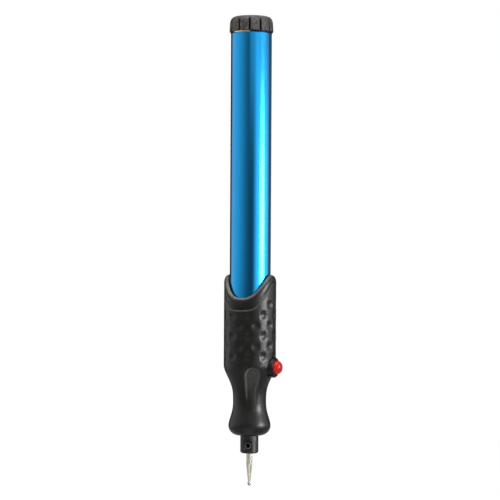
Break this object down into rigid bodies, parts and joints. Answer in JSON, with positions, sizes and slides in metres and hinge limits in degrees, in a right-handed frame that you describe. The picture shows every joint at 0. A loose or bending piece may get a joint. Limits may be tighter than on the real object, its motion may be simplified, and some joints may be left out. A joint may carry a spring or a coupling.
{
  "type": "battery engraving pen",
  "caption": "Slim cordless engraving pen: metal battery tube with a screw cap, moulded grip with finger scoops and a push button, and a set-screw chuck that spins a tapered ball burr.",
  "frame": {"origin": "on the tool's axis at the narrowest part of the grip, where the fingers hold it", "axes": "+Z along the tool's axis from the burr towards the screw cap, +X towards the push button"},
  "size_m": [0.0237, 0.0204, 0.1832],
  "materials": {
    "black_moulding": "satin moulded black",
    "cap_moulding": "matte moulded black",
    "blue_anodised": "polished blue anodised",
    "red_plastic": "gloss red",
    "bezel_plastic": "gloss black",
    "black_steel": "black oxide",
    "bright_steel": "bright turned",
    "burr_steel": "bright ground",
    "brass": "bright turned",
    "bronze": "sintered",
    "copper": "bare copper",
    "ferrite": "sintered grey",
    "cell_sleeve": "plain printed sleeve",
    "white_nylon": "natural nylon",
    "red_sheath": "soft red sheath",
    "black_sheath": "soft black sheath"
  },
  "bodies": {
    "housing": {"barrel_tube": "blue_anodised", "grip_right": "black_moulding", "grip_left": "black_moulding", "battery_cell_rear": "cell_sleeve", "battery_cell_front": "cell_sleeve", "contact_carrier": "white_nylon", "positive_contact": "brass", "tube_contact_clip": "brass", "motor_can": "bright_steel", "motor_end_bell": "white_nylon", "motor_magnet_front": "ferrite", "motor_magnet_back": "ferrite", "brush_front": "brass", "brush_back": "brass", "nose_bush": "bronze", "switch_bezel": "bezel_plastic", "switch_housing": "black_moulding", "switch_leaf": "brass", "switch_contact": "brass", "button_spring": "bright_steel", "lead_positive": "red_sheath", "lead_motor": "black_sheath", "lead_ground": "black_sheath"},
    "spindle": {"motor_shaft": "bright_steel", "armature_core": "bright_steel", "winding_a": "copper", "winding_b": "copper", "winding_c": "copper", "commutator": "copper", "chuck": "black_steel"},
    "burr": {"engraving_burr": "burr_steel"},
    "grub": {"grub_screw": "black_steel"},
    "button": {"push_button": "red_plastic"},
    "cap_carriage": {"cap_contact_plate": "brass", "cap_spring": "bright_steel"},
    "cap": {"end_cap": "cap_moulding", "cap_thread_bush": "brass"}
  },
  "joints": [
    {"name": "button_press", "type": "slide", "parent": "housing", "child": "button", "axis": [-1, 0, 0], "range_m": [0, 0.001], "stiffness_N_per_m": 800, "springref_m": -0.0015, "deforming": ["button_spring"]},
    {"name": "spindle_spin", "type": "hinge", "parent": "housing", "child": "spindle", "pos_m": [0, 0, 0], "axis": [0, 0, 1], "continuous": true},
    {"name": "burr_pull", "type": "slide", "parent": "spindle", "child": "burr", "axis": [0, 0, -1], "range_m": [0, 0.0095]},
    {"name": "grub_turn", "type": "hinge", "parent": "spindle", "child": "grub", "pos_m": [0.00056, -0.00244, -0.0174], "axis": [0.225, -0.9744, 0], "range_deg": [0, 540]},
    {"name": "cap_lift", "type": "slide", "parent": "housing", "child": "cap_carriage", "axis": [0, 0, 1], "range_m": [0, 0.00405]},
    {"name": "cap_turn", "type": "hinge", "parent": "cap_carriage", "child": "cap", "pos_m": [0, 0, 0.147], "axis": [0, 0, 1], "range_deg": [0, 1440]}
  ],
  "couplings": [
    {"joint": "cap_lift", "follows": "cap_turn", "m_per_rad": 0.00015915}
  ]
}
